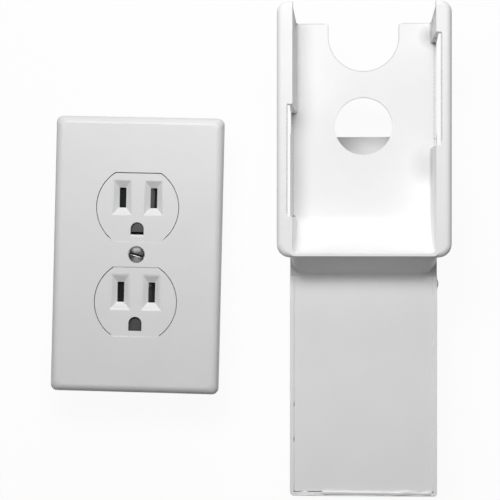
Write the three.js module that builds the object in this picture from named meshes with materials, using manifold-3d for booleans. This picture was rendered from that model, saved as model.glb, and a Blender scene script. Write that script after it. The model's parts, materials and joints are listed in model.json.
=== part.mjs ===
// Outlet diversion safe: a dummy duplex outlet with a quarter-turn latch, and the in-wall body behind it.
// Millimetres, +Z up. The two units lie side by side on a table and are seen from above.
// The origin is the centre of the pouch's back face, and +Y runs towards the open end of the wall frame.

import * as THREE from "three";
import { mergeVertices } from "three/addons/utils/BufferGeometryUtils.js";
import Module from "manifold-3d";

const wasm = await Module();
wasm.setup();

// Fits and cutters that all pieces share
const seatGap = 0.3; // air between two pieces that rest on each other or run in each other
const overrun = 1; // how far a cutter runs past the face that it opens

// Steps of the rounded forms
const cornerSteps = 5;
const bevelSteps = 6;
const curveSteps = 14;
const roundSteps = 32;
const holeSteps = 48;

// Pouch
const pouchLength = 148.3;
const pouchDrop = 97; // the part of the pouch that hangs below the flange
const pouchWall = 1.5;
const pouchStep = 0.3; // how far the pouch stands out past the tray on each side
const pouchBack = 2;
const pouchBackCorner = 2;
const pouchFootCorner = 1.5;
const panelThickness = 1.5;
const panelInset = 0.4;

// Wall frame
const bodyDepth = 55;
const trayDepth = 19;
const trayMouthWidth = 56.8;
const trayWall = 1.1;
const trayDraft = 1.2; // how far each side wall leans in from the mouth to the floor
const trayFillet = 1.2;
const rampFillet = 3; // between the ramp and the side walls
const leastFillet = 0.3;
const midPlate = 2;
const midPlateDrop = 6.6; // from the flange's top end to the mid plate's edge
const flangeHeight = 101.7;
const railWidth = 6.2;
const railThickness = 3;
const railRounding = 2.3;
const railTopCorner = 4.4;
const railFootCorner = 5.2;
const railInnerCorner = 1;
const notchRadius = 14.2;
const notchDepth = 19.4;
const notchCorner = 1.2;
const hubHoleRadius = 11.7;
const hubHoleDrop = 48.4; // from the flange's top end to the hole's centre
const rampLength = 15.9;
const rampWall = 1.6;
const lipSetback = 0.5; // how far the rails' feet run past the lip
const lipThickness = 1;
const lipCorner = 2; // where the lip meets the side walls
const skirtLength = 7.6;
const skirtLipCorner = 2;
const skirtFootCorner = 7;
const latchDrop = 0.7; // from the hole's centre down to the level that the latch turns at
const windowLength = 44.8;
const windowShortReach = 8.3; // from the latch's level to the window's near end
const windowRailBite = 1.95;
const windowSlant = 2.2;

// Faceplate
const plateWidth = 69.85;
const plateHeight = 114.3;
const plateDepth = 6;
const plateWeb = 2.2;
const plateRim = 2;
const plateCorner = 2.6;
const plateBevel = 3.2;
const plateBevelDepth = 3.4;
const bossRadius = 3;
const bossHoleDepth = 2.4;

// Dummy receptacles
const receptacleWidth = 33.8;
const receptacleHeight = 28.1;
const receptacleBridge = 11; // between the two openings, where the centre screw is
const receptacleGap = 0.35;
const receptacleRecess = 0.2;
const ledgeWidth = 1.4;
const ledgeThickness = 1.2;
const slotWidth = 2.8;
const slotLength = 8.3;
const slotSpacing = 12.9;
const slotRise = 4;
const funnelTopWidth = 7;
const funnelFootWidth = 7.9;
const funnelLength = 14;
const funnelDepth = 2;
const groundRadius = 2.75;
const groundDrop = 8.9;
const groundFlatDrop = 12;

// Rear strap and its screws
const strapWidth = 29;
const strapLength = 90;
const strapThickness = 1.5;
const strapCorner = 3;
const strapScrewSpacingX = 20;
const strapScrewSpacingY = 80;
const strapScrewHeadRadius = 2.5;
const strapScrewHeadHeight = 1.3;
const strapScrewRadius = 1.2;
const strapScrewLength = 4;
const crossWidth = 0.7;
const crossSpan = 2.8;
const crossDepth = 0.8;

// Centre screw, and the latch that it carries
const wallboard = 12.7;
const gripGap = 0.2;
const screwRadius = 1.95;
const screwHeadRadius = 3.3;
const screwDome = 0.7;
const screwSlotWidth = 0.8;
const screwSlotDepth = 0.9;
const screwSlotTurn = -15.5; // degrees from level
const screwTail = 0.8;
const screwTipChamfer = 0.5;
const sleeveWall = 1.8;
const barThickness = 1.8;
const barReach = 42;
const barWidth = 12;
const barCorner = 4;
const barHubRadius = 8.5;
const washerRadius = 5;
const washerThickness = 1;
const nutSides = 6;
const nutRadius = 4.1;
const nutHeight = 2.8;
const nutChamfer = 0.5;

// How the face unit lies beside the body
const layoutGap = 24;
const layoutRise = 1.05; // from the flange's foot up to the level of the face unit's centre
const layoutTurn = -1.3; // degrees about +Z

// Widths across the body
const trayWidth = trayMouthWidth + 2 * trayWall;
const trayFloorWidth = trayMouthWidth - 2 * trayDraft;
const flangeWidth = trayMouthWidth + 2 * railWidth;
const pouchWidth = trayWidth + 2 * pouchStep;

// Places along the body
const pouchTop = pouchLength / 2;
const pouchFoot = -pouchLength / 2;
const flangeFoot = pouchFoot + pouchDrop;
const flangeTop = flangeFoot + flangeHeight;
const midPlateTop = flangeTop - midPlateDrop;
const hubHoleY = flangeTop - hubHoleDrop;
const latchY = hubHoleY - latchDrop;
const lipFoot = flangeFoot + lipSetback;
const skirtFoot = lipFoot - skirtLength;
const lipInside = lipFoot + lipThickness;
const rampTop = lipInside + rampLength;
const trayFloor = bodyDepth - trayDepth;
const trayBack = trayFloor - midPlate;
const railBack = bodyDepth - railThickness;

// Heights in the face unit, from the faceplate's rear rim
const webRear = plateDepth - plateWeb;
const ledgeFront = webRear - seatGap;
const ledgeRear = ledgeFront - ledgeThickness;
const strapFront = ledgeRear - seatGap;
const strapRear = strapFront - strapThickness;
const receptacleFront = plateDepth - receptacleRecess;
const barFront = -(railThickness + wallboard + gripGap);
const barRear = barFront - barThickness;
const washerFront = barRear - seatGap;
const washerRear = washerFront - washerThickness;
const nutFront = washerRear - seatGap;
const nutRear = nutFront - nutHeight;
const screwEnd = nutRear - screwTail;

const bodyPlastic = { color: 0xf7f7f7, roughness: 0.4, metalness: 0 };
const facePlastic = { color: 0xe8e8e9, roughness: 0.35, metalness: 0 };
const darkPlastic = { color: 0x1c1c1e, roughness: 0.6, metalness: 0 };
const nickel = { color: 0xa8a6a2, roughness: 0.3, metalness: 1 };
const zincSteel = { color: 0xb4b6b8, roughness: 0.4, metalness: 1 };

// Solids and how they are joined

function toSolid(geometry) {
  geometry.deleteAttribute("normal");
  geometry.deleteAttribute("uv");
  const merged = mergeVertices(geometry);
  return new wasm.Manifold(
    new wasm.Mesh({
      numProp: 3,
      vertProperties: merged.attributes.position.array,
      triVerts: new Uint32Array(merged.index.array),
    }),
  );
}

function toMesh(name, solid, look) {
  const { numProp, vertProperties, triVerts } = solid.getMesh();
  const geometry = new THREE.BufferGeometry();
  const positions = new THREE.InterleavedBuffer(vertProperties, numProp);
  geometry.setAttribute("position", new THREE.InterleavedBufferAttribute(positions, 3, 0));
  geometry.setIndex(new THREE.BufferAttribute(triVerts, 1));
  const mesh = new THREE.Mesh(geometry, new THREE.MeshStandardMaterial({ ...look, flatShading: true }));
  mesh.name = name;
  return mesh;
}

function block(low, high) {
  const size = new THREE.Vector3().subVectors(high, low);
  const middle = new THREE.Vector3().addVectors(low, high).multiplyScalar(1 / 2);
  return toSolid(new THREE.BoxGeometry(size.x, size.y, size.z).translate(middle.x, middle.y, middle.z));
}

// A block whose width is centred on X = 0
function centredBlock(width, lowY, highY, lowZ, highZ) {
  return block(new THREE.Vector3(-width / 2, lowY, lowZ), new THREE.Vector3(width / 2, highY, highZ));
}

// An outline drawn in X and Y, from one height to another
function prism(shape, low, high) {
  const options = { depth: high - low, bevelEnabled: false, curveSegments: curveSteps };
  return toSolid(new THREE.ExtrudeGeometry(shape, options).translate(0, 0, low));
}

// An outline drawn in Y and Z, centred on X = 0
function prismAcross(shape, width) {
  const options = { depth: width, bevelEnabled: false, curveSegments: curveSteps };
  const geometry = new THREE.ExtrudeGeometry(shape, options).translate(0, 0, -width / 2);
  const across = new THREE.Matrix4().makeBasis(
    new THREE.Vector3(0, 1, 0),
    new THREE.Vector3(0, 0, 1),
    new THREE.Vector3(1, 0, 0),
  );
  return toSolid(geometry.applyMatrix4(across));
}

// An outline drawn in X and Z, from one Y to another
function prismAlong(shape, low, high) {
  const options = { depth: high - low, bevelEnabled: false, curveSegments: curveSteps };
  const geometry = new THREE.ExtrudeGeometry(shape, options).rotateX(Math.PI / 2);
  return toSolid(geometry.translate(0, high, 0));
}

function rod(radius, low, high, steps = roundSteps) {
  const geometry = new THREE.CylinderGeometry(radius, radius, high - low, steps);
  return toSolid(geometry.rotateX(Math.PI / 2).translate(0, 0, (low + high) / 2));
}

function tube(innerRadius, outerRadius, low, high) {
  return rod(outerRadius, low, high).subtract(rod(innerRadius, low - overrun, high + overrun));
}

// A turned solid about Z, from [radius, height] pairs that run up from the axis and back to it
function turned(profile, steps = roundSteps) {
  const points = profile.map(([radius, height]) => new THREE.Vector2(radius, height));
  return toSolid(new THREE.LatheGeometry(points, steps).rotateX(Math.PI / 2));
}

// A solid skinned over level rings of as many points each, lowest first, each running counterclockwise
function loft(rings) {
  const count = rings[0].length;
  const index = [];
  for (let level = 0; level < rings.length - 1; level++) {
    for (let i = 0; i < count; i++) {
      const here = level * count + i;
      const next = level * count + ((i + 1) % count);
      index.push(here, next, next + count, here, next + count, here + count);
    }
  }
  const top = (rings.length - 1) * count;
  for (const [a, b, c] of THREE.ShapeUtils.triangulateShape(rings[0], [])) {
    index.push(c, b, a);
  }
  for (const [a, b, c] of THREE.ShapeUtils.triangulateShape(rings.at(-1), [])) {
    index.push(top + a, top + b, top + c);
  }
  const positions = rings.flat().flatMap((point) => [point.x, point.y, point.z]);
  const geometry = new THREE.BufferGeometry();
  geometry.setAttribute("position", new THREE.Float32BufferAttribute(positions, 3));
  geometry.setIndex(index);
  return toSolid(geometry);
}

// A level ring of points round a rectangle. Its corners' radii run counterclockwise from high X and high Y.
function cornerRing(lowX, lowY, highX, highY, corners, level) {
  const ring = [];
  [[1, 1], [-1, 1], [-1, -1], [1, -1]].forEach(([sideX, sideY], quarter) => {
    const corner = corners[quarter];
    const centreX = (sideX > 0 ? highX : lowX) - sideX * corner;
    const centreY = (sideY > 0 ? highY : lowY) - sideY * corner;
    for (let i = 0; i <= cornerSteps; i++) {
      const angle = (quarter + i / cornerSteps) * (Math.PI / 2);
      const x = centreX + corner * Math.cos(angle);
      const y = centreY + corner * Math.sin(angle);
      ring.push(new THREE.Vector3(x, y, level));
    }
  });
  return ring;
}

function roundedRing(width, height, corner, level) {
  return cornerRing(-width / 2, -height / 2, width / 2, height / 2, Array(4).fill(corner), level);
}

function roundedRectangle(width, height, corner) {
  return new THREE.Shape(roundedRing(width, height, corner, 0));
}

// Wall frame: flange rails, tray walls, mid plate, and the ramp that comes forward to the lip

// The Y of the skirt's sloped outer face at a height
function skirtAt(height) {
  return lipFoot - (skirtLength * (bodyDepth - height)) / trayDepth;
}

// A point of the ramp's curve, which is a quarter of an ellipse, or of a like curve that much further back
function rampPoint(step, back) {
  const angle = ((step / curveSteps) * Math.PI) / 2;
  const y = rampTop - (rampLength + back) * Math.sin(angle);
  const z = bodyDepth - (trayDepth + back) * Math.cos(angle);
  return new THREE.Vector2(y, z);
}

function rampCurve(back) {
  return Array.from({ length: curveSteps + 1 }, (_, step) => rampPoint(step, back));
}

// The block behind the ramp, whose outer corners open out from the lip to the foot
function skirtBlock() {
  const ring = (height) => {
    const share = (bodyDepth - height) / trayDepth;
    const corner = THREE.MathUtils.lerp(skirtLipCorner, skirtFootCorner, share);
    const side = trayWidth / 2;
    const foot = skirtAt(height);
    const head = rampTop + overrun;
    const points = [new THREE.Vector3(side, head, height), new THREE.Vector3(-side, head, height)];
    for (const direction of [-1, 1]) {
      for (let i = 0; i <= cornerSteps; i++) {
        const angle = Math.PI + ((direction + 1) / 2 + i / cornerSteps) * (Math.PI / 2);
        const x = direction * (side - corner) + corner * Math.cos(angle);
        const y = foot + corner + corner * Math.sin(angle);
        points.push(new THREE.Vector3(x, y, height));
      }
    }
    return points;
  };
  const base = centredBlock(trayWidth, skirtFoot, rampTop + overrun, trayBack, trayFloor);
  return loft([ring(trayFloor), ring(bodyDepth)]).add(base);
}

// The hollow of the skirt, open to the pouch behind it
function skirtHollow() {
  const insideAt = (height) => skirtAt(height) + rampWall;
  const curve = rampCurve(midPlate).filter((point) => point.x > insideAt(point.y));
  const low = trayBack - overrun;
  const end = curve.at(-1);
  const outline = [
    new THREE.Vector2(rampTop, low),
    ...curve,
    new THREE.Vector2(insideAt(end.y), end.y),
    new THREE.Vector2(insideAt(trayFloor), trayFloor),
    new THREE.Vector2(insideAt(trayFloor), low),
  ];
  return prismAcross(new THREE.Shape(outline), trayWidth - 2 * (skirtFootCorner + rampWall / 2));
}

// Half the width inside the tray at a height, on the drafted side walls
function trayHalfAt(height) {
  const share = (height - trayFloor) / trayDepth;
  return THREE.MathUtils.lerp(trayFloorWidth, trayMouthWidth, share) / 2;
}

// How far the side walls curve in at a Y, to meet the lip in round corners
function lipDrawIn(y) {
  const run = THREE.MathUtils.clamp(lipInside + lipCorner - y, 0, lipCorner);
  return lipCorner - Math.sqrt(lipCorner ** 2 - run ** 2);
}

// One section of the tray's space, drawn in X and Z, with a fillet between the floor and each side wall
function traySection(y, floor, fillet) {
  const corner = Math.min(fillet, bodyDepth - floor + leastFillet);
  const half = (height) => trayHalfAt(height) - lipDrawIn(y);
  const curve = new THREE.QuadraticBezierCurve(
    new THREE.Vector2(half(floor) - corner, floor),
    new THREE.Vector2(half(floor), floor),
    new THREE.Vector2(half(floor + corner), floor + corner),
  );
  const right = curve.getPoints(cornerSteps);
  const mouth = bodyDepth + overrun;
  right.push(new THREE.Vector2(half(mouth), mouth));
  const left = right.map((point) => new THREE.Vector2(-point.x, point.y)).reverse();
  return [...left, ...right].map((point) => new THREE.Vector3(point.x, point.y, -y));
}

// The space inside the tray: straight from its open end to the ramp, and up the ramp to the lip
function trayCavity() {
  const rings = [traySection(flangeTop + overrun, trayFloor, trayFillet)];
  rampCurve(0).forEach((point, step) => {
    const fillet = THREE.MathUtils.lerp(trayFillet, rampFillet, step / curveSteps);
    rings.push(traySection(point.x, point.y, fillet));
  });
  return loft(rings).rotate([90, 0, 0]);
}

// The right-hand rail, rounded at the front on its outer side and ends, and sunk into the tray's wall inside
function rail() {
  const inside = trayHalfAt(railBack) - trayWall / 2;
  const outside = flangeWidth / 2;
  const ring = (inset, level) => {
    const share = (railWidth - inset) / railWidth;
    const fullCorners = [railTopCorner, railInnerCorner, railInnerCorner, railFootCorner];
    const corners = fullCorners.map((corner) => corner * share);
    const foot = flangeFoot + inset;
    return cornerRing(inside, foot, outside - inset, flangeTop - inset, corners, level);
  };
  const rings = [ring(0, railBack)];
  for (let i = 0; i <= bevelSteps; i++) {
    const angle = ((i / bevelSteps) * Math.PI) / 2;
    const inset = railRounding * (1 - Math.cos(angle));
    rings.push(ring(inset, bodyDepth - railRounding * (1 - Math.sin(angle))));
  }
  return loft(rings);
}

// The finger notch in the mid plate's open edge
function fingerNotch() {
  const centreY = midPlateTop - notchDepth + notchRadius;
  const outer = notchRadius + notchCorner;
  const outline = new THREE.Shape();
  outline.moveTo(-outer, midPlateTop + overrun);
  outline.lineTo(-outer, midPlateTop);
  outline.quadraticCurveTo(-notchRadius, midPlateTop, -notchRadius, midPlateTop - notchCorner);
  outline.absarc(0, centreY, notchRadius, Math.PI, 2 * Math.PI, false);
  outline.lineTo(notchRadius, midPlateTop - notchCorner);
  outline.quadraticCurveTo(notchRadius, midPlateTop, outer, midPlateTop);
  outline.lineTo(outer, midPlateTop + overrun);
  return prism(outline, trayBack - overrun, trayFloor + overrun);
}

// One latch window, cut through a side wall and into the rail's inner edge
function latchWindow(side) {
  const reach = windowLength - windowShortReach;
  const low = latchY - (side < 0 ? reach : windowShortReach);
  const high = low + windowLength;
  const slantAtTop = (windowSlant * (trayDepth + overrun)) / trayDepth;
  const outline = new THREE.Shape([
    new THREE.Vector2(low, trayFloor),
    new THREE.Vector2(high - windowSlant, trayFloor),
    new THREE.Vector2(high - windowSlant + slantAtTop, bodyDepth + overrun),
    new THREE.Vector2(low, bodyDepth + overrun),
  ]);
  const outside = trayMouthWidth / 2 + windowRailBite;
  const inside = trayFloorWidth / 2 - trayFillet;
  const width = outside - inside;
  return prismAcross(outline, width).translate([(side * (outside + inside)) / 2, 0, 0]);
}

// What is cut off the tray's top end: the side walls slope from the rails down to the mid plate's edge
function topEndCut() {
  const outline = new THREE.Shape([
    new THREE.Vector2(midPlateTop, trayBack - overrun),
    new THREE.Vector2(midPlateTop, trayFloor),
    new THREE.Vector2(flangeTop - railTopCorner / 2, railBack),
    new THREE.Vector2(flangeTop + overrun, railBack),
    new THREE.Vector2(flangeTop + overrun, trayBack - overrun),
  ]);
  return prismAcross(outline, flangeWidth);
}

function wallFrame() {
  const hubHole = rod(hubHoleRadius, trayBack - overrun, trayFloor + overrun, holeSteps);
  const rightRail = rail();
  const wallsTop = flangeTop - railTopCorner / 2;
  return centredBlock(trayWidth, rampTop, wallsTop, trayBack, bodyDepth - railRounding)
    .add(skirtBlock())
    .add(rightRail)
    .add(rightRail.mirror([1, 0, 0]))
    .subtract(trayCavity())
    .subtract(skirtHollow())
    .subtract(topEndCut())
    .subtract(fingerNotch())
    .subtract(hubHole.translate([0, hubHoleY, 0]))
    .subtract(latchWindow(-1))
    .subtract(latchWindow(1));
}

// Pouch: an open-topped shell, and the front panel that closes it below the frame

function pouchShell() {
  const innerWidth = pouchWidth - 2 * pouchWall;
  const section = roundedRectangle(pouchWidth, 2 * trayFloor, pouchBackCorner);
  const outer = prismAlong(section, pouchFoot, pouchTop).translate([0, 0, trayFloor]);
  const outline = prism(roundedRectangle(pouchWidth, pouchLength, pouchFootCorner), 0, trayFloor);
  const cutTop = pouchTop + overrun;
  const cutFront = trayFloor + overrun;
  const inside = centredBlock(innerWidth, pouchFoot + pouchWall, cutTop, pouchBack, cutFront);
  const frameSeat = trayBack - seatGap;
  const underFrame = centredBlock(2 * pouchWidth, skirtFoot - seatGap, cutTop, frameSeat, cutFront);
  return outer.intersect(outline).subtract(inside).subtract(underFrame);
}

function pouchFront() {
  const width = pouchWidth - 2 * (pouchWall + seatGap);
  const high = trayFloor - panelInset;
  const foot = pouchFoot + pouchWall + seatGap;
  return centredBlock(width, foot, skirtFoot - seatGap, high - panelThickness, high);
}

// Face unit: faceplate, dummy receptacles, rear strap and its screws

function receptacleShape(grow) {
  const radius = receptacleWidth / 2 + grow;
  const half = Math.asin((receptacleHeight / 2 + grow) / radius);
  const outline = new THREE.Shape();
  outline.absarc(0, 0, radius, -half, half, false);
  outline.absarc(0, 0, radius, Math.PI - half, Math.PI + half, false);
  return outline;
}

const receptacleSpacing = receptacleHeight + receptacleBridge;
const receptaclePlaces = [["upper", receptacleSpacing / 2], ["lower", -receptacleSpacing / 2]];

const strapScrewPlaces = [[-1, 1], [1, 1], [-1, -1], [1, -1]].map(([sideX, sideY]) => [
  (sideX * strapScrewSpacingX) / 2,
  (sideY * strapScrewSpacingY) / 2,
]);

function faceplate() {
  const rings = [roundedRing(plateWidth, plateHeight, plateCorner, 0)];
  for (let i = 0; i <= bevelSteps; i++) {
    const angle = ((i / bevelSteps) * Math.PI) / 2;
    const inset = plateBevel * (1 - Math.cos(angle));
    const level = plateDepth - plateBevelDepth * (1 - Math.sin(angle));
    rings.push(roundedRing(plateWidth - 2 * inset, plateHeight - 2 * inset, plateCorner, level));
  }
  const hollow = prism(
    roundedRectangle(plateWidth - 2 * plateRim, plateHeight - 2 * plateRim, plateCorner),
    -overrun,
    webRear,
  );
  let plate = loft(rings).subtract(hollow);
  for (const [x, y] of strapScrewPlaces) {
    const bossLow = strapFront + seatGap;
    const boss = rod(bossRadius, bossLow, plateDepth - plateWeb / 2);
    const hole = rod(strapScrewRadius + seatGap, bossLow - overrun, bossLow + bossHoleDepth);
    plate = plate.add(boss.translate([x, y, 0])).subtract(hole.translate([x, y, 0]));
  }
  for (const [, y] of receptaclePlaces) {
    const opening = prism(receptacleShape(receptacleGap), webRear - overrun, plateDepth + overrun);
    plate = plate.subtract(opening.translate([0, y, 0]));
  }
  const seatRadius = screwHeadRadius + seatGap;
  const holeRadius = screwRadius + seatGap;
  const countersink = turned([
    [0, webRear - overrun],
    [holeRadius, webRear - overrun],
    [holeRadius, plateDepth - (seatRadius - holeRadius)],
    [seatRadius, plateDepth],
    [seatRadius, plateDepth + overrun],
    [0, plateDepth + overrun],
  ]);
  return plate.subtract(countersink);
}

// The flared mouth round a blade slot, wider at the foot than at the top
function slotFunnel() {
  const ring = (topWidth, footWidth, length, level) => [
    new THREE.Vector3(footWidth / 2, -length / 2, level),
    new THREE.Vector3(topWidth / 2, length / 2, level),
    new THREE.Vector3(-topWidth / 2, length / 2, level),
    new THREE.Vector3(-footWidth / 2, -length / 2, level),
  ];
  return loft([
    ring(slotWidth, slotWidth, slotLength, receptacleFront - funnelDepth),
    ring(funnelTopWidth, funnelFootWidth, funnelLength, receptacleFront),
    ring(funnelTopWidth, funnelFootWidth, funnelLength, receptacleFront + overrun),
  ]);
}

function groundHole() {
  const outline = new THREE.Shape();
  outline.moveTo(-groundRadius, -groundFlatDrop);
  outline.lineTo(groundRadius, -groundFlatDrop);
  outline.absarc(0, -groundDrop, groundRadius, 0, Math.PI, false);
  return prism(outline, ledgeRear - overrun, receptacleFront + overrun);
}

function receptacle() {
  const face = prism(receptacleShape(0), ledgeFront - ledgeThickness / 2, receptacleFront);
  const ledge = prism(receptacleShape(ledgeWidth), ledgeRear, ledgeFront);
  const slotEnd = slotLength / 2;
  const slot = centredBlock(slotWidth, -slotEnd, slotEnd, ledgeRear - overrun, receptacleFront);
  let insert = face.add(ledge).subtract(groundHole());
  for (const side of [-1, 1]) {
    const place = [(side * slotSpacing) / 2, slotRise, 0];
    insert = insert.subtract(slot.translate(place)).subtract(slotFunnel().translate(place));
  }
  return insert;
}

function rearStrap() {
  let strap = prism(roundedRectangle(strapWidth, strapLength, strapCorner), strapRear, strapFront);
  const cutLow = strapRear - overrun;
  const cutHigh = strapFront + overrun;
  strap = strap.subtract(rod(screwRadius + seatGap, cutLow, cutHigh));
  for (const [x, y] of strapScrewPlaces) {
    strap = strap.subtract(rod(strapScrewRadius + seatGap, cutLow, cutHigh).translate([x, y, 0]));
  }
  return strap;
}

function strapScrew() {
  const headFront = strapRear - seatGap;
  const headRear = headFront - strapScrewHeadHeight;
  const body = turned([
    [0, headRear],
    [strapScrewHeadRadius - strapScrewHeadHeight / 2, headRear],
    [strapScrewHeadRadius, headRear + strapScrewHeadHeight / 2],
    [strapScrewHeadRadius, headFront],
    [strapScrewRadius, headFront],
    [strapScrewRadius, headFront + strapScrewLength - strapScrewRadius / 2],
    [0, headFront + strapScrewLength],
  ]);
  const crossEnd = crossSpan / 2;
  const crossFloor = headRear + crossDepth;
  const cross = centredBlock(crossWidth, -crossEnd, crossEnd, headRear - overrun, crossFloor);
  return body.subtract(cross).subtract(cross.rotate([0, 0, 90]));
}

// Latch: centre screw, spacer sleeve, bar, washer and nut turn together

function centreScrew() {
  const profile = [
    [0, screwEnd],
    [screwRadius - screwTipChamfer, screwEnd],
    [screwRadius, screwEnd + screwTipChamfer],
    [screwRadius, plateDepth - (screwHeadRadius - screwRadius)],
  ];
  for (let i = 0; i <= cornerSteps; i++) {
    const angle = ((i / cornerSteps) * Math.PI) / 2;
    profile.push([screwHeadRadius * Math.cos(angle), plateDepth + screwDome * Math.sin(angle)]);
  }
  profile.at(-1)[0] = 0;
  const slotTop = plateDepth + screwDome;
  const slot = centredBlock(
    2 * (screwHeadRadius + overrun),
    -screwSlotWidth / 2,
    screwSlotWidth / 2,
    slotTop - screwSlotDepth,
    slotTop + overrun,
  );
  return turned(profile).subtract(slot.rotate([0, 0, screwSlotTurn]));
}

function spacerSleeve() {
  const inner = screwRadius + seatGap;
  return tube(inner, inner + sleeveWall, barFront + seatGap, strapRear - seatGap);
}

function latchBar() {
  const arms = prism(roundedRectangle(barWidth, 2 * barReach, barCorner), barRear, barFront);
  const hub = rod(barHubRadius, barRear, barFront);
  return arms.add(hub).subtract(rod(screwRadius + seatGap, barRear - overrun, barFront + overrun));
}

function washer() {
  return tube(screwRadius + seatGap, washerRadius, washerRear, washerFront);
}

function lockNut() {
  const hexagon = rod(nutRadius, nutRear, nutFront, nutSides);
  const bore = rod(screwRadius + seatGap, nutRear - overrun, nutFront + overrun);
  const rounding = turned([
    [0, nutRear],
    [nutRadius - nutChamfer, nutRear],
    [nutRadius, nutRear + nutChamfer],
    [nutRadius, nutFront],
    [0, nutFront],
  ]);
  return hexagon.intersect(rounding).subtract(bore);
}

// Assembly

const body = new THREE.Group();
body.add(toMesh("wall_frame", wallFrame(), bodyPlastic));
body.add(toMesh("pouch_shell", pouchShell(), bodyPlastic));
body.add(toMesh("pouch_front", pouchFront(), bodyPlastic));

const face = new THREE.Group();
face.position.set(-(flangeWidth / 2 + layoutGap + plateWidth / 2), flangeFoot + layoutRise, -screwEnd);
face.rotation.z = THREE.MathUtils.degToRad(layoutTurn);
face.add(toMesh("faceplate", faceplate(), facePlastic));
for (const [place, y] of receptaclePlaces) {
  const insert = toMesh(`receptacle_${place}`, receptacle(), facePlastic);
  insert.position.y = y;
  face.add(insert);
}
face.add(toMesh("rear_strap", rearStrap(), darkPlastic));
strapScrewPlaces.forEach(([x, y], i) => {
  const screw = toMesh(`strap_screw_${i + 1}`, strapScrew(), zincSteel);
  screw.position.set(x, y, 0);
  face.add(screw);
});

const latch = new THREE.Group();
latch.add(toMesh("centre_screw", centreScrew(), nickel));
latch.add(toMesh("spacer_sleeve", spacerSleeve(), bodyPlastic));
latch.add(toMesh("latch_bar", latchBar(), zincSteel));
latch.add(toMesh("washer", washer(), zincSteel));
latch.add(toMesh("lock_nut", lockNut(), zincSteel));
face.add(latch);

const safe = new THREE.Group();
safe.add(body, face);

export default safe;
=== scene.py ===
"""Looks of an outlet diversion safe: a dummy duplex outlet with its latch, and the in-wall body beside it."""

import json
import math

import bmesh
import bpy
from mathutils import Matrix, Vector, noise


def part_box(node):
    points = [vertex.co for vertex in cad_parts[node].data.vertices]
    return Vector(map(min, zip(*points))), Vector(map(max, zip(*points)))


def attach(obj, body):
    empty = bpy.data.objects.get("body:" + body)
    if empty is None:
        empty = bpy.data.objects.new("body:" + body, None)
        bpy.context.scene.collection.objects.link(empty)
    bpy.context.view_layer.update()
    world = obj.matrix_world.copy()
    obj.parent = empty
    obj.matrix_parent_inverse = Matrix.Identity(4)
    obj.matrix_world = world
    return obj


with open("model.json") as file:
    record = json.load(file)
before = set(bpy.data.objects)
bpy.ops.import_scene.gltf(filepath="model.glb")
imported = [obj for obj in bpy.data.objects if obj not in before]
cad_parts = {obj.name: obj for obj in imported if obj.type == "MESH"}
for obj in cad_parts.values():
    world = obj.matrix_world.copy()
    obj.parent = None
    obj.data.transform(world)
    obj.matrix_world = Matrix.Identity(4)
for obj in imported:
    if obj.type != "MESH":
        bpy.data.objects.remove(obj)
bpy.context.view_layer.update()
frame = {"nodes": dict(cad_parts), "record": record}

# Lengths are in mm where a comment says so, and otherwise in metres
MM = 0.001
UPWARD = Vector((0.0, 0.0, 1.0))
LEVEL_ONLY = (1.0, 1.0, 0.0)
WHITE = (1.0, 1.0, 1.0, 1.0)

# Camera, straight above the two units and turned by a few degrees towards the face unit. Its lens and
# sensor are in mm.
CAMERA_PLACE = Vector((-8.9, 23.8, 728.0)) * MM
CAMERA_TURN = (0.17, 3.08, 0.04)
CAMERA_LENS = 122.4
SENSOR_WIDTH = 36.0
CLIP_START = 0.01
CLIP_END = 20.0

# The sky's strength, and the lamps. They face one place and all stand beyond the open end: a high one,
# a low one, and one on the left, each with its place and size in mm and its power in watts.
SKY_STRENGTH = 0.06
LAMP_TARGET = Vector((-10.0, 20.0, 20.0)) * MM
LAMPS = {
    "high": ((-10.0, 272.2, 586.4), 240.0, 1.2),
    "low": ((-10.0, 582.0, 282.0), 240.0, 0.64),
    "left": ((-150.7, 296.2, 557.0), 240.0, 1.46),
}

# The floor, 4 m wide: the share of plain white in what the camera sees of it, the tone of the rest,
# and the tone by which it throws light back
FLOOR_SIZE = 4.0
FLOOR_WHITE_SHARE = 0.94
FLOOR_SEEN = 0.95
FLOOR_BOUNCE = 0.45
FLOOR_ROUGHNESS = 0.9

# Clean-up of the CAD nodes: points this close are one, and faces this flat are one
WELD_REACH = 0.001 * MM
FLAT_ANGLE = math.radians(0.5)

# Rounding of moulded and turned edges: steps, the least angle that is rounded, and radii
EDGE_STEPS = 3
SHARP_ANGLE = math.radians(25)
USUAL_EDGE = 0.25 * MM
EDGES = {
    "wall_frame": 0.18 * MM,
    "faceplate": 0.2 * MM,
    "centre_screw": 0.14 * MM,
}

# How far the large faces outweigh the small ones in the shading, at its most
NORMAL_WEIGHT = 100

# Dark marks in the body's plastic, in mm: place, reach, and the share of the colour that stays in the middle.
# First dark spots at the windows' corners, and last three patches of painted shade on the tray's right side,
# by the right window's top and below its foot.
DARK_SPOTS_AND_PAINTED_SHADE = [
    ((-30.2, 84.0, 52.0), 0.9, 0.4),
    ((-28.6, 81.6, 36.5), 0.9, 0.45),
    ((-28.3, 39.5, 36.0), 0.9, 0.5),
    ((30.0, 112.0, 52.0), 1.0, 0.4),
    ((28.6, 109.6, 36.5), 1.0, 0.5),
    ((28.9, 71.0, 36.0), 0.5, 0.6),
    ((27.8, 67.1, 36.0), 0.6, 0.5),
    ((27.0, 112.5, 37.0), 5.5, 0.66),
    ((27.0, 60.0, 36.5), 9.5, 0.8),
    ((29.2, 111.0, 44.0), 3.2, 0.65),
]

# Painted shade, the same on both inner walls at the tray's open end, with the place on the right one
PAINTED_END_SHADE = [
    ((27.6, 119.2, 42.0), 5.0, 0.62),
    ((28.1, 121.5, 50.0), 4.5, 0.62),
    ((27.2, 117.9, 36.5), 0.9, 0.45),
]
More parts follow.
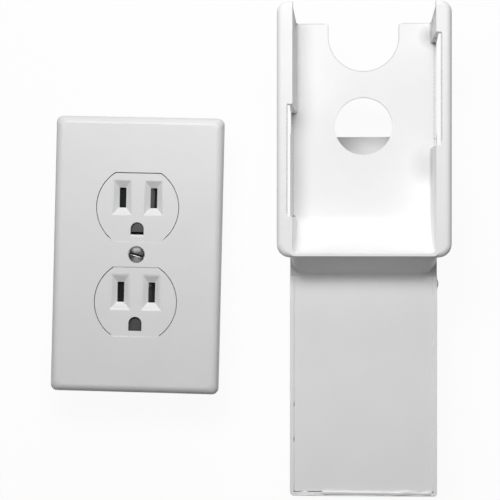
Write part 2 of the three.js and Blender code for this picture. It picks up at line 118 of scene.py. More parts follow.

# Painted shadow lines at the rails' inner edges, the windows' lower ones and the mid plate's end:
# from end to end, with the higher coordinates last, and again reach and share
PAINTED_EDGE_SHADOWS = [
    ((-30.45, 40.5, 54.75), (-30.45, 83.5, 54.75), 0.55, 0.6),
    ((-28.6, 39.5, 36.4), (-28.6, 81.6, 36.4), 0.6, 0.62),
    ((30.45, 69.0, 54.75), (30.45, 111.5, 54.75), 0.55, 0.6),
    ((28.6, 67.1, 36.4), (28.6, 109.6, 36.4), 0.6, 0.62),
    ((-26.0, 117.95, 36.0), (-16.0, 117.95, 36.0), 0.5, 0.75),
    ((16.0, 117.95, 36.0), (26.0, 117.95, 36.0), 0.5, 0.75),
]

# The faint painted shadow line round the finger notch: two corners of the flat box that it goes round, how
# far off it, and again reach and share
PAINTED_NOTCH_SHADOW = ((0.0, 112.75, 30.0), (0.0, 120.0, 40.0), 14.2, 0.5, 0.7)

# The part of its reach over which a mark is darkest. Marks that reach further than SMOOTH_REACH are smooth,
# and the others have ragged edges.
MARK_CORE = 0.3
SMOOTH_REACH = 3.0


def middle(node):
    """The middle of a CAD node's box."""
    low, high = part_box(node)
    return (low + high) / 2


# The face unit's own axes: up runs along a column of strap screws, and heights start at the plate's rear rim
FACE_UP = (middle("strap_screw_1") - middle("strap_screw_3")).normalized()
FACE_ACROSS = FACE_UP.cross(UPWARD)
SCREW_MIDDLE = middle("centre_screw")
FACE_CENTRE = Vector((SCREW_MIDDLE.x, SCREW_MIDDLE.y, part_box("faceplate")[0].z))


def on_face(x, y, height, centre=FACE_CENTRE):
    """A place in the face unit, from mm across, up and forward of its centre."""
    return centre + (FACE_ACROSS * x + FACE_UP * y + UPWARD * height) * MM


# Materials

# The range that a noise texture mostly keeps to, and the details in use
NOISE_RANGE = (0.3, 0.7)
NOISE_DETAIL = 3.0
FINE_DETAIL = 2.0
STREAK_DETAIL = 4.0

# Noise scales, in waves a metre, but the streaks' over a direction of length one
RAGGED_SCALE = 1500.0
MOTTLE_SCALE = 60.0
PLASTIC_GLOSS_SCALE = 160.0
GRAIN_SCALE = 1400.0
CLOUD_SCALE = 320.0
STEEL_GLOSS_SCALE = 700.0
STREAK_SCALE = 9.0
NICKEL_GLOSS_SCALE = 900.0

# How far each roughness wanders to either side
PLASTIC_GLOSS = (-0.04, 0.05)
STEEL_GLOSS = (-0.08, 0.1)
NICKEL_GLOSS = (-0.05, 0.07)

# How much the ragged marks' edges wander, the plastic's grain and index, and the clouds' darkest tone
RAGGED_SPREAD = (0.8, 1.25)
GRAIN_STRENGTH = 0.35
PLASTIC_IOR = 1.48
CLOUD_TONE = 0.86

# The screw's head, faced on a lathe: how one-way its gloss is, the tones of its fine streaks, those of the
# wedges of painted reflection to its sides and towards its top and foot, the span of the squared Y of a way
# outward between the two, and how much brighter the foot's painted highlight is
LATHE_GLOSS = 0.9
STREAK_TONES = (0.6, 1.25)
PAINTED_REFLECTION_TONES = (0.22, 0.78)
PAINTED_REFLECTION_RANGE = (0.25, 1.0)
PAINTED_FOOT_HIGHLIGHT = 1.5


def node_tree(name):
    """A new material with its node tree and its shader."""
    material = bpy.data.materials.new(name)
    material.use_nodes = True
    tree = material.node_tree
    return material, tree, tree.nodes["Principled BSDF"]


def object_coordinates(tree):
    return tree.nodes.new("ShaderNodeTexCoord").outputs["Object"]


def add_node(tree, kind, **values):
    """A shader node, with its properties and its input defaults set by name."""
    node = tree.nodes.new(kind)
    for key, value in values.items():
        if key in node.inputs:
            node.inputs[key].default_value = value
        else:
            setattr(node, key, value)
    return node


def feed(tree, node, sources):
    """Fills a node's first inputs, each from another node's output or with a plain value."""
    for socket, source in zip(node.inputs, sources):
        if isinstance(source, bpy.types.NodeSocket):
            tree.links.new(source, socket)
        else:
            socket.default_value = source
    return node


def number_math(tree, operation, *sources):
    """The result of a Math node."""
    node = add_node(tree, "ShaderNodeMath", operation=operation)
    return feed(tree, node, sources).outputs["Value"]


def vector_math(tree, operation, *sources, result="Vector"):
    """The result of a Vector Math node, which is a vector or, as for a distance, a value."""
    node = add_node(tree, "ShaderNodeVectorMath", operation=operation)
    return feed(tree, node, sources).outputs[result]


def map_range(tree, source, spans):
    """A value carried from one range, the first two of the spans, to another, the last two."""
    node = tree.nodes.new("ShaderNodeMapRange")
    for socket, value in zip(("From Min", "From Max", "To Min", "To Max"), spans):
        node.inputs[socket].default_value = value
    tree.links.new(source, node.inputs["Value"])
    return node.outputs["Result"]


def noise_factor(tree, coordinates, scale, detail):
    """The factor of a noise texture."""
    texture = add_node(tree, "ShaderNodeTexNoise", Scale=scale, Detail=detail)
    tree.links.new(coordinates, texture.inputs["Vector"])
    return texture.outputs["Fac"]


def noise_between(tree, coordinates, scale, low, high, detail=NOISE_DETAIL):
    """A noise texture whose factor is spread between two values."""
    return map_range(tree, noise_factor(tree, coordinates, scale, detail), (*NOISE_RANGE, low, high))


def uneven_gloss(tree, coordinates, shader, scale, roughness, wander):
    """A roughness that wanders about its middle value."""
    below, above = wander
    gloss = noise_between(tree, coordinates, scale, roughness + below, roughness + above)
    tree.links.new(gloss, shader.inputs["Roughness"])


def away_from(tree, coordinates, low, high, hollow):
    """How far a place is from the box between two corners, or from the shell that lies a hollow off it."""
    nearest = vector_math(tree, "MINIMUM", coordinates, [value * MM for value in high])
    nearest = vector_math(tree, "MAXIMUM", nearest, [value * MM for value in low])
    distance = vector_math(tree, "DISTANCE", coordinates, nearest, result="Value")
    past = number_math(tree, "SUBTRACT", distance, hollow * MM)
    return number_math(tree, "ABSOLUTE", past)


def darken_by_spots_and_painted_shade(tree, coordinates, shade):
    """Darkens a shade by dark spots at the windows' corners, and by painted shade and painted shadow lines on
    the tray's walls and floor.
    """
    ragged = noise_between(tree, coordinates, RAGGED_SCALE, *RAGGED_SPREAD, detail=FINE_DETAIL)
    spots = DARK_SPOTS_AND_PAINTED_SHADE + [((side * x, y, z), *rest) for (x, y, z), *rest in PAINTED_END_SHADE for side in (-1, 1)]
    marks = [(place, place, 0.0, *rest) for place, *rest in spots]
    marks += [(start, end, 0.0, *rest) for start, end, *rest in PAINTED_EDGE_SHADOWS]
    for low, high, hollow, reach, kept in marks + [PAINTED_NOTCH_SHADOW]:
        away = away_from(tree, coordinates, low, high, hollow)
        if reach < SMOOTH_REACH:
            away = number_math(tree, "MULTIPLY", away, ragged)
        mark = map_range(tree, away, (MARK_CORE * reach * MM, reach * MM, kept, 1.0))
        shade = number_math(tree, "MULTIPLY", shade, mark)
    return shade


def tinted(tree, shader, color, shade):
    """The colour times the shade, as the shader's base colour."""
    base = add_node(tree, "ShaderNodeRGB")
    base.outputs[0].default_value = (*color, 1.0)
    tint = add_node(tree, "ShaderNodeVectorMath", operation="SCALE")
    tree.links.new(base.outputs[0], tint.inputs[0])
    tree.links.new(shade, tint.inputs["Scale"])
    tree.links.new(tint.outputs[0], shader.inputs["Base Color"])


def plastic(name, color, roughness, mottle, grain, specular=0.5, dark_spots_and_painted_shade=False):
    """Moulded plastic: faint mottling, uneven gloss and an orange-peel grain, whose depth is in mm. On the
    body it also carries dark spots, painted shade and painted shadow lines.
    """
    material, tree, shader = node_tree(name)
    coordinates = object_coordinates(tree)
    shade = noise_between(tree, coordinates, MOTTLE_SCALE, 1.0 - mottle, 1.0)
    # Dark spots, painted shade and painted shadow lines on the tray
    if dark_spots_and_painted_shade:
        shade = darken_by_spots_and_painted_shade(tree, coordinates, shade)
    tinted(tree, shader, color, shade)
    uneven_gloss(tree, coordinates, shader, PLASTIC_GLOSS_SCALE, roughness, PLASTIC_GLOSS)
    peel = noise_factor(tree, coordinates, GRAIN_SCALE, FINE_DETAIL)
    bump = add_node(tree, "ShaderNodeBump", Strength=GRAIN_STRENGTH, Distance=grain * MM)
    tree.links.new(peel, bump.inputs["Height"])
    tree.links.new(bump.outputs["Normal"], shader.inputs["Normal"])
    shader.inputs["IOR"].default_value = PLASTIC_IOR
    shader.inputs["Specular IOR Level"].default_value = specular
    return material


def plated_steel(name, color, roughness):
    """Zinc-plated steel: bright metal with a faint cloudy passivation."""
    material, tree, shader = node_tree(name)
    coordinates = object_coordinates(tree)
    tinted(tree, shader, color, noise_between(tree, coordinates, CLOUD_SCALE, CLOUD_TONE, 1.0))
    uneven_gloss(tree, coordinates, shader, STEEL_GLOSS_SCALE, roughness, STEEL_GLOSS)
    shader.inputs["Metallic"].default_value = 1.0
    return material


def nickel_with_painted_reflection(name, color, roughness, axis):
    """Nickel plate faced on a lathe about an upright axis: streaks towards it, and bright and dull wedges of
    painted reflection.
    """
    material, tree, shader = node_tree(name)
    coordinates = object_coordinates(tree)
    arm = vector_math(tree, "SUBTRACT", coordinates, axis)
    level = vector_math(tree, "MULTIPLY", arm, LEVEL_ONLY)
    way = vector_math(tree, "NORMALIZE", level)
    tree.links.new(vector_math(tree, "CROSS_PRODUCT", UPWARD, way), shader.inputs["Tangent"])
    split = tree.nodes.new("ShaderNodeSeparateXYZ")
    tree.links.new(way, split.inputs[0])
    way_y = split.outputs["Y"]
    # Painted reflection: bright wedges towards the top and foot, dull ones to the sides, brightest at the
    # foot
    painted_reflection = map_range(tree, number_math(tree, "MULTIPLY", way_y, way_y), (*PAINTED_REFLECTION_RANGE, *PAINTED_REFLECTION_TONES))
    foot_highlight = map_range(tree, way_y, (-1.0, 0.0, PAINTED_FOOT_HIGHLIGHT, 1.0))
    painted_reflection = number_math(tree, "MULTIPLY", painted_reflection, foot_highlight)
    streaks = noise_between(tree, way, STREAK_SCALE, *STREAK_TONES, detail=STREAK_DETAIL)
    tinted(tree, shader, color, number_math(tree, "MULTIPLY", painted_reflection, streaks))
    uneven_gloss(tree, coordinates, shader, NICKEL_GLOSS_SCALE, roughness, NICKEL_GLOSS)
    shader.inputs["Metallic"].default_value = 1.0
    shader.inputs["Anisotropic"].default_value = LATHE_GLOSS
    return material


# Looks of the record's slots
MATERIALS = {
    "body_plastic": plastic(
        "body_plastic", color=(0.93, 0.93, 0.93), roughness=0.5, mottle=0.02, grain=0.04, dark_spots_and_painted_shade=True),
    "face_plastic": plastic(
        "face_plastic", color=(0.81, 0.81, 0.815), roughness=0.38, mottle=0.025, grain=0.03),
    "dark_plastic": plastic(
        "dark_plastic", color=(0.012, 0.012, 0.013), roughness=0.7, mottle=0.3, grain=0.03, specular=0.15),
    "nickel_screw": nickel_with_painted_reflection(
        "nickel_screw", color=(0.3, 0.3, 0.297), roughness=0.54, axis=SCREW_MIDDLE),
    "zinc_steel": plated_steel(
        "zinc_steel", color=(0.66, 0.67, 0.68), roughness=0.36),
}

# Looks of the added pieces alone
GLUE = plastic(
    "glue", color=(0.9, 0.9, 0.9), roughness=0.22, mottle=0.06, grain=0.15)
# The contacts' grey, which also makes the painted glint at the lower contact's tip
CONTACT_GREY_AND_GLINT = plastic(
    "contact_grey_and_glint", color=(0.15, 0.15, 0.152), roughness=0.6, mottle=0.3, grain=0.05, specular=0.3)
# A darker copy of the contacts' grey for the lower receptacle's pad and contact: painted shade
CONTACT_PAINTED_SHADE = plastic(
    "contact_painted_shade", color=(0.055, 0.055, 0.057), roughness=0.6, mottle=0.4, grain=0.05, specular=0.3)
# A lighter copy of the screw's nickel for the burr along its slot: painted highlight
HIGHLIGHT_NICKEL = plated_steel(
    "painted_highlight_nickel", color=(0.85, 0.85, 0.84), roughness=0.45)
# A dark strip in the screw's slot: painted shade
PAINTED_SLOT_SHADE = plastic(
    "painted_slot_shade", color=(0.03, 0.028, 0.026), roughness=0.8, mottle=0.4, grain=0.05, specular=0.2)


# CAD nodes: smooth shading, small rounded edges and the slot's material

# A receptacle's outline, its front's height in the face unit and the gap round it, its ground hole and its
# blade slots, in mm
RECEPTACLE_RADIUS = 16.9
RECEPTACLE_HALF = 14.05
RECEPTACLE_FRONT = 5.8
RECEPTACLE_GAP = 0.35
GROUND_DROP = 8.9
GROUND_FLAT_DROP = 12.0
GROUND_RADIUS = 2.75
SLOT_SPACING = 12.9
SLOT_RISE = 4.0
SLOT_LENGTH = 8.3
SLOT_WIDTH = 2.8

# The rounding of the slots' flared mouths, in mm, and the field that it keeps to: this far inside the
# outline, and no further than this under the front
FUNNEL_ROUNDING = 0.8
FUNNEL_STEPS = 5
OUTLINE_MARGIN = 1
FRONT_SLACK = 0.15


def modify(node, name, kind, **settings):
    """Gives a node a modifier with its settings."""
    modifier = node.modifiers.new(name, kind)
    for key, value in settings.items():
        setattr(modifier, key, value)


def receptacle_centre(name):
    """The middle of a receptacle face, at the height of the plate's rear rim."""
    place = middle(name)
    return Vector((place.x, place.y, FACE_CENTRE.z))


def soften_funnels(node):
    """Rounds the flared mouths of a receptacle's blade slots more than its other edges."""
    centre = receptacle_centre(node.name)
    group = node.vertex_groups.new(name="funnels")
    for vertex in node.data.vertices:
        arm = (vertex.co - centre) / MM
        rise = arm.dot(FACE_UP)
        over_ground = rise > GROUND_RADIUS - GROUND_DROP + SLOT_WIDTH / 2
        in_round = arm.xy.length < RECEPTACLE_RADIUS - OUTLINE_MARGIN
        under_top = rise < RECEPTACLE_HALF - OUTLINE_MARGIN
        at_front = arm.z > RECEPTACLE_FRONT - FRONT_SLACK
        if over_ground and in_round and under_top and at_front:
            group.add([vertex.index], 1.0, "REPLACE")
    modify(node, "funnels", "BEVEL", limit_method="VGROUP", vertex_group=group.name,
           width=FUNNEL_ROUNDING * MM, segments=FUNNEL_STEPS, harden_normals=True)


def finish_node(node, slot):
    """Cleans up and rounds a CAD node's mesh, and gives it its slot's material."""
    mesh = node.data
    mesh.materials.clear()
    mesh.materials.append(MATERIALS[slot])
    mesh.polygons.foreach_set("use_smooth", [True] * len(mesh.polygons))
    modify(node, "weld", "WELD", merge_threshold=WELD_REACH)
    modify(node, "planar", "DECIMATE", decimate_type="DISSOLVE", angle_limit=FLAT_ANGLE)
    if node.name.startswith("receptacle"):
        soften_funnels(node)
    modify(node, "edges", "BEVEL", width=EDGES.get(node.name, USUAL_EDGE), segments=EDGE_STEPS,
           limit_method="ANGLE", angle_limit=SHARP_ANGLE, harden_normals=True)
    modify(node, "normals", "WEIGHTED_NORMAL", mode="FACE_AREA", weight=NORMAL_WEIGHT, keep_sharp=False)


for part in frame["record"]["subparts"]:
    finish_node(frame["nodes"][part["node"]], part["material_slot"])


# Detail pieces

# The least angle of a crease that stays sharp in them
CREASE = math.radians(50)


def skin(name, rings, body, slot, material=None):
    """A smooth closed mesh over rings of as many points each, which rides on a body.
    It takes the slot's material where it has none of its own."""
    count = len(rings[0])
    points = [point for ring in rings for point in ring]
    faces = []
    for level in range(len(rings) - 1):
        for i in range(count):
            here = level * count + i
            near = level * count + (i + 1) % count
            faces.append((here, near, near + count, here + count))
    last = (len(rings) - 1) * count
    faces.append(tuple(range(count)))
    faces.append(tuple(range(last, last + count)))
    mesh = bpy.data.meshes.new(name)
    mesh.from_pydata(points, [], faces)
    build = bmesh.new()
    build.from_mesh(mesh)
    bmesh.ops.recalc_face_normals(build, faces=build.faces)
    build.to_mesh(mesh)
    build.free()
    mesh.polygons.foreach_set("use_smooth", [True] * len(mesh.polygons))
    mesh.set_sharp_from_angle(angle=CREASE)
    mesh.materials.append(material or MATERIALS[slot])
    piece = bpy.data.objects.new(name, mesh)
    bpy.context.scene.collection.objects.link(piece)
    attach(piece, body)


def straight(start, end, step):
    """Evenly spaced points from one place to another, at least three."""
    count = max(2, round((end - start).length / step))
    return [start.lerp(end, i / count) for i in range(count + 1)]


# A bead's sides, its steps, the length of its waves, and the steps over which it is drawn in, with the
# part of a step that its tip keeps
BEAD_SIDES = 12
BEAD_STEP = 0.5 * MM
BEAD_WAVE = 5.0 * MM
BEAD_TAPER = 4
BEAD_TIP = 0.4

# It sways by its width over this, times the noise that lies this many waves higher
SWAY_PARTS = 3
SWAY_START = UPWARD * 12


def bead(name, path, section, body="body", slot="body_plastic", material=GLUE):
    """A run of glue along a path: an oval section whose size and place wander, drawn in at both ends.
    The section gives the width and height in mm, and how uneven they are."""
    width, height, uneven = section
    width *= MM
    height *= MM
    last = len(path) - 1
    rings = []
    for i, point in enumerate(path):
        along = (path[min(i + 1, last)] - path[max(i - 1, 0)]).normalized()
        across = along.cross(UPWARD)
        wave = point / BEAD_WAVE
        wander = 1 + uneven * noise.noise(wave)
        sway = across * (uneven * width / SWAY_PARTS * noise.noise(wave + SWAY_START))
        size = wander * min(1.0, (min(i, last - i) + BEAD_TIP) / BEAD_TAPER)
        ring = []
        for side in range(BEAD_SIDES):
            angle = 2 * math.pi * side / BEAD_SIDES
            offset = across * (math.cos(angle) * width / 2) + UPWARD * (math.sin(angle) * height / 2)
            ring.append(point + sway + offset * size)
        rings.append(ring)
    skin(name, rings, body, slot, material)


# Glue round the pouch's front panel, in mm: how far outside it and how far under its front, where the left
# run stops and starts again, how far inside the shell's sides the head's run ends, and the runs' sections
SEAM_OUT = 0.15
SEAM_SINK = 0.12
LEFT_STOPS = (-36.4, -37.6, -50.7, -51.8)
HEAD_INSET = 0.5
SIDE_SECTION = (0.9, 0.55, 0.3)
HEAD_SECTION = (0.7, 0.6, 0.2)

# Glue at the pouch's foot, in mm: the long run's height over the shell's end and over the panel's front,
# where it starts and how far inside the shell's side it ends, how far short of it and under it the short
# run ends, the dab's middle and half its length, and their sections
FOOT_RIM = 1.25
FOOT_RISE = 0.2
LONG_START = -17.6
LONG_INSET = 1.1
SHORT_GAP = 0.3
SHORT_DROP = 0.75
DAB_PLACE = -23.8
DAB_HALF = 1.6
LONG_SECTION = (1.7, 0.9, 0.5)
SHORT_SECTION = (0.8, 0.7, 0.5)
DAB_SECTION = (0.8, 0.6, 0.4)


def make_pouch_glue():
    """Glue round the pouch's front panel: thin up the sides and over the head, ragged along the foot."""
    low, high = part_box("pouch_front")
    shell_low, shell_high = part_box("pouch_shell")
    seam = SEAM_OUT * MM
    level = high.z - SEAM_SINK * MM

    def run(name, start, end, section):
        bead(name, straight(Vector(start), Vector(end), BEAD_STEP), section)

    left = low.x - seam
    right = high.x + seam
    stops = [high.y, *(stop * MM for stop in LEFT_STOPS), low.y]
    for number, (start, end) in enumerate(zip(stops[::2], stops[1::2]), 1):
        run(f"seam_glue_left_{number}", (left, start, level), (left, end, level), SIDE_SECTION)
    run("seam_glue_right", (right, high.y, level), (right, low.y, level), SIDE_SECTION)
    head = high.y + seam
    half = shell_high.x - HEAD_INSET * MM
    run("seam_glue_head", (-half, head, level), (half, head, level), HEAD_SECTION)

    rim = shell_low.y + FOOT_RIM * MM
    top = high.z + FOOT_RISE * MM
    long_start = LONG_START * MM
    long_end = shell_high.x - LONG_INSET * MM
    run("foot_glue_long", (long_start, rim, top), (long_end, rim, top), LONG_SECTION)
    short_rim = rim - SHORT_DROP * MM
    short_end = long_start - SHORT_GAP * MM
    run("foot_glue_short", (low.x, short_rim, top), (short_end, short_rim, top), SHORT_SECTION)
    dab = Vector((DAB_PLACE * MM, low.y - seam, level))
    reach = Vector((DAB_HALF * MM, 0.0, 0.0))
    run("foot_glue_dab", dab - reach, dab + reach, DAB_SECTION)


make_pouch_glue()

# The lump on the pouch's right edge, in mm: its two ends, how far out, how far under the shell's front,
# and its section
EDGE_BURR_ENDS = (10.0, 14.4)
EDGE_BURR_OUT = 0.05
EDGE_BURR_SINK = 2.2
EDGE_BURR_SECTION = (0.9, 1.3, 0.8)


def make_edge_burr():
    """A small lump of glue on the pouch's right edge, just below the tray."""
    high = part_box("pouch_shell")[1]
    side = high.x + EDGE_BURR_OUT * MM
    level = high.z - EDGE_BURR_SINK * MM
    start, end = (Vector((side, y * MM, level)) for y in EDGE_BURR_ENDS)
    bead("edge_burr", straight(start, end, BEAD_STEP), EDGE_BURR_SECTION)


make_edge_burr()

# The skirt in front of the pouch, in mm: half its foot's length, its corners, and its rise over its run
SKIRT_HALF = 29.5
SKIRT_CORNER = 7.0
SKIRT_RISE = 19.0
SKIRT_RUN = 7.6
SKIRT_SLOPE = math.atan2(SKIRT_RISE, SKIRT_RUN)

# The fillet that blends it into the front panel, in mm: its reach, its steps across and round a corner,
# the turn by which it has died out and the size that is left there, its start above the panel's end,
# and the corner of its section that is hidden in the skirt
FILLET_REACH = 3.2
FILLET_STEPS = 10
FADE_STEPS = 12
FILLET_FADE = math.radians(55)
FADE_SIZE = 0.05
FILLET_START = 0.3
FILLET_ROOT = (-0.4, -0.3)


def skirt_fillet():
    """A concave blend from the skirt down to the pouch's front panel, which dies out round its corners."""
    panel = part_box("pouch_front")[1]
    foot = panel.y / MM + FILLET_START
    radius = FILLET_REACH / math.tan(SKIRT_SLOPE / 2)
    profile = [FILLET_ROOT]
    for i in range(FILLET_STEPS + 1):
        angle = -math.pi / 2 - SKIRT_SLOPE * i / FILLET_STEPS
        profile.append((FILLET_REACH + radius * math.cos(angle), radius + radius * math.sin(angle)))
    straight_half = SKIRT_HALF - SKIRT_CORNER
    rings = []
    for side in (-1, 1):
        for i in range(FADE_STEPS + 1):
            share = i / FADE_STEPS
            turn = FILLET_FADE * (1 - share if side < 0 else share)
            x = side * (straight_half + SKIRT_CORNER * math.sin(turn))
            y = foot + SKIRT_CORNER * (1 - math.cos(turn))
            base = Vector((x, y, panel.z / MM))
            out = Vector((side * math.sin(turn), -math.cos(turn), 0.0))
            size = max(FADE_SIZE, math.cos(turn / FILLET_FADE * math.pi / 2))
            rings.append([(base + out * u * size + UPWARD * w * size) * MM for u, w in profile])
    skin("skirt_fillet", rings, "body", "body_plastic")


skirt_fillet()

# The webs in the gap round a receptacle: steps up a side, how early along them the full height is reached,
# and the section, in half gaps across and in mm over the web's top
WEB_STEPS = 12
WEB_HASTE = 1.2
WEB_SECTION = ((1, -1.2), (1, 0.0), (0, 0.04), (-1, 0.0), (-1, -1.2))


def gap_fill(name, receptacle, sign, depth, end_depth, arc):
    """A thin web in the gap under or over a receptacle face, which sinks away up its round sides."""
    centre = receptacle_centre(receptacle)
    radius = RECEPTACLE_RADIUS + RECEPTACLE_GAP / 2
    corner = math.asin((RECEPTACLE_HALF + RECEPTACLE_GAP / 2) / radius)
    path = []
    for i in range(WEB_STEPS + 1):
        share = i / WEB_STEPS
        turn = corner - arc * (1 - share)
        path.append((radius * math.cos(turn), radius * math.sin(turn), share))
    path += [(-x, y, share) for x, y, share in reversed(path)]
    rings = []
    for i, (x, y, share) in enumerate(path):
        near = path[max(i - 1, 0)]
        far = path[min(i + 1, len(path) - 1)]
        along = Vector((far[0] - near[0], far[1] - near[1], 0.0)).normalized()
        side = along.cross(UPWARD) * (RECEPTACLE_GAP / 2)
        top = RECEPTACLE_FRONT - (end_depth + (depth - end_depth) * min(1.0, share * WEB_HASTE))
        ring = []
        for across, rise in WEB_SECTION:
            ring.append(on_face(x + across * side.x, sign * (y + across * side.y), top + rise, centre))
        rings.append(ring)
    skin(name, rings, "face_unit", "face_plastic")


gap_fill("gap_fill_upper", "receptacle_upper", sign=-1, depth=0.08, end_depth=0.9, arc=math.radians(9))
gap_fill("gap_fill_lower", "receptacle_lower", sign=-1, depth=0.05, end_depth=1.1, arc=math.radians(4))
gap_fill("gap_fill_lower_top", "receptacle_lower", sign=1, depth=0.3, end_depth=1.0, arc=math.radians(2))

# A ground hole's pad: steps of its round end, and its rings, as a share of the hole and in mm over its slope
PAD_STEPS = 16
PAD_RINGS = ((0.97, -1.0), (0.97, -0.25), (0.85, -0.05), (0.5, 0.0))


def ground_pad(name, receptacle, foot, high, low, material):
    """A grey pad down in a ground hole, which slopes from the hole's round end to a flat foot."""
    centre = receptacle_centre(receptacle)
    outline = [(GROUND_RADIUS, -foot)]
    for i in range(PAD_STEPS + 1):
        angle = math.pi * i / PAD_STEPS
        outline.append((GROUND_RADIUS * math.cos(angle), GROUND_RADIUS * math.sin(angle) - GROUND_DROP))
    outline.append((-GROUND_RADIUS, -foot))
    middle_y = -(GROUND_DROP + foot) / 2
    span = foot - GROUND_DROP + GROUND_RADIUS
    rings = []
    for size, rise in PAD_RINGS:
        ring = []
        for x, y in outline:
            inner_y = middle_y + (y - middle_y) * size
            slope = low + (high - low) * (inner_y + foot) / span
            ring.append(on_face(x * size, inner_y, slope + rise, centre))
        rings.append(ring)
    skin(name, rings, "face_unit", "dark_plastic", material)


ground_pad("ground_pad_upper", "receptacle_upper", foot=10.2, high=4.9, low=3.6, material=CONTACT_GREY_AND_GLINT)
# The lower pad takes the darker copy of the grey: painted shade
ground_pad("ground_pad_lower", "receptacle_lower", foot=GROUND_FLAT_DROP, high=4.2, low=4.4,
           material=CONTACT_PAINTED_SHADE)

# The rim at the foot of the upper ground hole: the shares of its half width at which it has rings,
# and its section up and forward, in mm
GROUND_LIP_SHARES = (-1.0, -0.5, 0.0, 0.5, 1.0)
GROUND_LIP_SECTION = ((-12.1, 3.4), (-11.35, 3.4), (-11.2, 4.6), (-11.3, 5.1), (-11.6, 5.45), (-12.1, 5.6))


def ground_lip():
    """A rounded white rim across the foot of the upper ground hole."""
    centre = receptacle_centre("receptacle_upper")
    rings = []
    for share in GROUND_LIP_SHARES:
        x = share * GROUND_RADIUS
        rings.append([on_face(x, y, height, centre) for y, height in GROUND_LIP_SECTION])
    skin("ground_lip", rings, "face_unit", "face_plastic")


ground_lip()

# A slot's contact: its steps, the share of the slot's length over which its foot and head are measured, its
# left side as a share of the slot's width, and its crown and underside in mm. Its section is in shares of
# its width across and in mm forward.
CONTACT_STEPS = 8
CONTACT_FILL = 0.94
CONTACT_LEFT = 0.48
CONTACT_CROWN = 0.35
CONTACT_UNDER = 1.4
CONTACT_SECTION = (
    (0.0, CONTACT_UNDER), (0.0, 3.4), (0.2, 3.1), (0.42, 2.5), (0.73, 1.9), (1.0, CONTACT_UNDER))


def slot_contact(name, receptacle, foot, head, width, material):
    """A bent contact over a part of the right blade slot's length, high against the slot's left wall."""
    centre = receptacle_centre(receptacle)
    left = SLOT_SPACING / 2 - SLOT_WIDTH * CONTACT_LEFT
    rings = []
    for i in range(CONTACT_STEPS + 1):
        share = i / CONTACT_STEPS
        y = SLOT_RISE + SLOT_LENGTH * CONTACT_FILL * (foot + (head - foot) * share - 0.5)
        crown = CONTACT_CROWN * math.sin(math.pi * share)
        ring = []
        for across, height in CONTACT_SECTION:
            lift = crown if height > CONTACT_UNDER else 0.0
            ring.append(on_face(left + across * width, y, height + lift, centre))
        rings.append(ring)
    skin(name, rings, "face_unit", "dark_plastic", material)


slot_contact("slot_contact_upper", "receptacle_upper", foot=0.0, head=1.0, width=1.9, material=CONTACT_GREY_AND_GLINT)
# The lower contact takes the darker copy of the grey, with a painted glint at its tip
slot_contact("slot_contact_lower", "receptacle_lower", foot=0.0, head=0.72, width=1.7, material=CONTACT_PAINTED_SHADE)
# A grey tip near the top of the lower contact: painted glint
slot_contact("slot_contact_lower_glint", "receptacle_lower", foot=0.76, head=0.98, width=1.3,
             material=CONTACT_GREY_AND_GLINT)

# The centre screw's thread, in mm: its pitch and radii, its turns and the steps of each, its start over the
# screw's end, how deep it sits in the core, and half its width there and at its crest
THREAD_PITCH = 0.8
THREAD_ROOT = 1.85
THREAD_CREST = 2.12
THREAD_TURNS = 9
THREAD_STEPS = 24
THREAD_START = 0.7
THREAD_SINK = 0.1
ROOT_HALF = 0.36
CREST_HALF = 0.06

# Its head, in mm: radius and dome, half its slot's length, the slot's depth and way, and the steps in it
SCREW_HEAD_RADIUS = 3.3
SCREW_HEAD_DOME = 0.7
SCREW_SLOT_HALF = 3.0
SCREW_SLOT_DEPTH = 0.9
SCREW_SLOT_WAY = Matrix.Rotation(math.radians(-15.5), 3, "Z") @ FACE_ACROSS
SCREW_SLOT_STEP = 0.3

# What the slot carries, in mm: the middle of the dark strip of painted shade over its floor, and the burr's
# under the head's top, down from the slot's middle and short of its ends, and their sections
SLOT_SHADE_RISE = 0.25
SLOT_SHADE_SECTION = (0.78, 0.5, 0.1)
SLOT_BURR_SINK = 0.06
SLOT_BURR_DOWN = 0.56
SLOT_BURR_INSET = 0.1
SLOT_BURR_SECTION = (0.17, 0.16, 0.1)


def screw_thread():
    """A helical ridge on the screw's tail, from its end up into the sleeve."""
    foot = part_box("centre_screw")[0].z / MM + THREAD_START
    root = THREAD_ROOT - THREAD_SINK
    total = THREAD_TURNS * THREAD_STEPS
    rings = []
    for i in range(total + 1):
        turn = 2 * math.pi * i / THREAD_STEPS
        height = foot + THREAD_PITCH * i / THREAD_STEPS
        fade = min(1.0, i / THREAD_STEPS, (total - i) / THREAD_STEPS)
        crest = THREAD_ROOT + (THREAD_CREST - THREAD_ROOT) * fade
        corners = ((root, -ROOT_HALF), (crest, -CREST_HALF), (crest, CREST_HALF), (root, ROOT_HALF))
        ring = []
        for radius, rise in corners:
            arm = Vector((math.cos(turn), math.sin(turn), 0.0)) * (radius * MM)
            ring.append(Vector((SCREW_MIDDLE.x, SCREW_MIDDLE.y, (height + rise) * MM)) + arm)
        rings.append(ring)
    skin("screw_thread", rings, "latch", "nickel_screw")


def painted_slot_shade():
    """A dark strip in the foot of the screw's slot: painted shade."""
    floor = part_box("centre_screw")[1].z - SCREW_SLOT_DEPTH * MM
    centre = Vector((SCREW_MIDDLE.x, SCREW_MIDDLE.y, floor + SLOT_SHADE_RISE * MM))
    reach = SCREW_SLOT_WAY * SCREW_SLOT_HALF * MM
    path = straight(centre - reach, centre + reach, SCREW_SLOT_STEP * MM)
    bead("painted_slot_shade", path, SLOT_SHADE_SECTION, "latch", "nickel_screw", PAINTED_SLOT_SHADE)


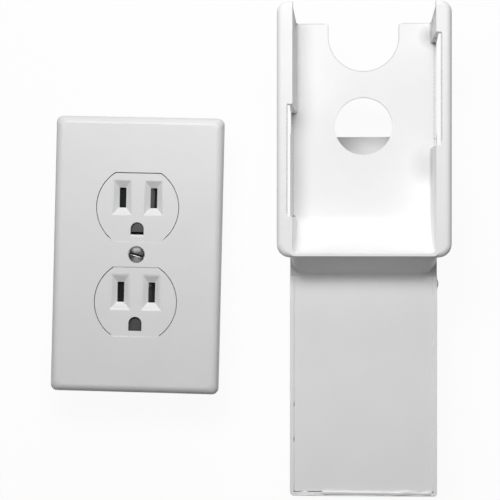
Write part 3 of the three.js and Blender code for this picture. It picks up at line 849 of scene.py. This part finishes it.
def slot_burr():
    """The lip that a screwdriver raised along the slot's lower edge, bright in a lighter copy of the screw's
    nickel: a painted highlight.
    """
    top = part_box("centre_screw")[1].z - SLOT_BURR_SINK * MM
    down = SCREW_SLOT_WAY.cross(UPWARD)
    edge = Vector((SCREW_MIDDLE.x, SCREW_MIDDLE.y, top)) + down * SLOT_BURR_DOWN * MM
    reach = SCREW_SLOT_WAY * (SCREW_SLOT_HALF - SLOT_BURR_INSET) * MM
    path = []
    for place in straight(edge - reach, edge + reach, SCREW_SLOT_STEP * MM):
        share = (place - edge).length / (SCREW_HEAD_RADIUS * MM)
        path.append(place + UPWARD * (SCREW_HEAD_DOME * (math.sqrt(1 - share * share) - 1)) * MM)
    bead("slot_burr", path, SLOT_BURR_SECTION, "latch", "nickel_screw", HIGHLIGHT_NICKEL)


screw_thread()
painted_slot_shade()
slot_burr()


# Lamps, world, floor and camera

def area_light(name, place, size, energy):
    """A round lamp that faces the lamps' target."""
    data = bpy.data.lights.new(name, "AREA")
    data.shape = "DISK"
    data.size = size
    data.energy = energy
    light = bpy.data.objects.new(name, data)
    light.location = place
    light.rotation_euler = (place - LAMP_TARGET).to_track_quat("Z", "Y").to_euler()
    bpy.context.scene.collection.objects.link(light)


def seen_share(tree):
    """One where the camera, gloss or glass sees a surface directly, and zero for all other rays."""
    rays = tree.nodes.new("ShaderNodeLightPath")
    share = rays.outputs["Is Camera Ray"]
    for ray in ("Is Glossy Ray", "Is Transmission Ray"):
        share = number_math(tree, "MAXIMUM", share, rays.outputs[ray])
    return share


def make_world():
    """A dim white sky that looks plain white wherever it is seen."""
    world = bpy.data.worlds.new("studio")
    bpy.context.scene.world = world
    world.use_nodes = True
    tree = world.node_tree
    sky = tree.nodes["Background"]
    sky.inputs["Color"].default_value = WHITE
    strength = map_range(tree, seen_share(tree), (0.0, 1.0, SKY_STRENGTH, 1.0))
    tree.links.new(strength, sky.inputs["Strength"])


def make_floor():
    """A white floor that keeps the shadow, but throws back less light than it seems to."""
    material, tree, shader = node_tree("floor")
    seen = seen_share(tree)
    tone = map_range(tree, seen, (0.0, 1.0, FLOOR_BOUNCE, FLOOR_SEEN))
    tree.links.new(tone, shader.inputs["Base Color"])
    shader.inputs["Roughness"].default_value = FLOOR_ROUGHNESS
    white = add_node(tree, "ShaderNodeEmission", Strength=1.0)
    mix = tree.nodes.new("ShaderNodeMixShader")
    white_share = map_range(tree, seen, (0.0, 1.0, 0.0, FLOOR_WHITE_SHARE))
    feed(tree, mix, (white_share, shader.outputs[0], white.outputs[0]))
    tree.links.new(mix.outputs[0], tree.nodes["Material Output"].inputs["Surface"])
    mesh = bpy.data.meshes.new("floor")
    half = FLOOR_SIZE / 2
    corners = [(-half, -half, 0), (half, -half, 0), (half, half, 0), (-half, half, 0)]
    mesh.from_pydata(corners, [], [(0, 1, 2, 3)])
    mesh.materials.append(material)
    floor = bpy.data.objects.new("floor", mesh)
    bpy.context.scene.collection.objects.link(floor)


def make_camera():
    """The camera, which frames the two units as the photo does."""
    data = bpy.data.cameras.new("camera")
    data.sensor_width = SENSOR_WIDTH
    data.lens = CAMERA_LENS
    data.clip_start = CLIP_START
    data.clip_end = CLIP_END
    camera = bpy.data.objects.new("camera", data)
    camera.location = CAMERA_PLACE
    camera.rotation_euler = [math.radians(angle) for angle in CAMERA_TURN]
    bpy.context.scene.collection.objects.link(camera)
    bpy.context.scene.camera = camera


make_camera()
make_world()
make_floor()
for name, (place, size, energy) in LAMPS.items():
    area_light(name, Vector(place) * MM, size * MM, energy)
bpy.context.scene.view_settings.view_transform = "Standard"
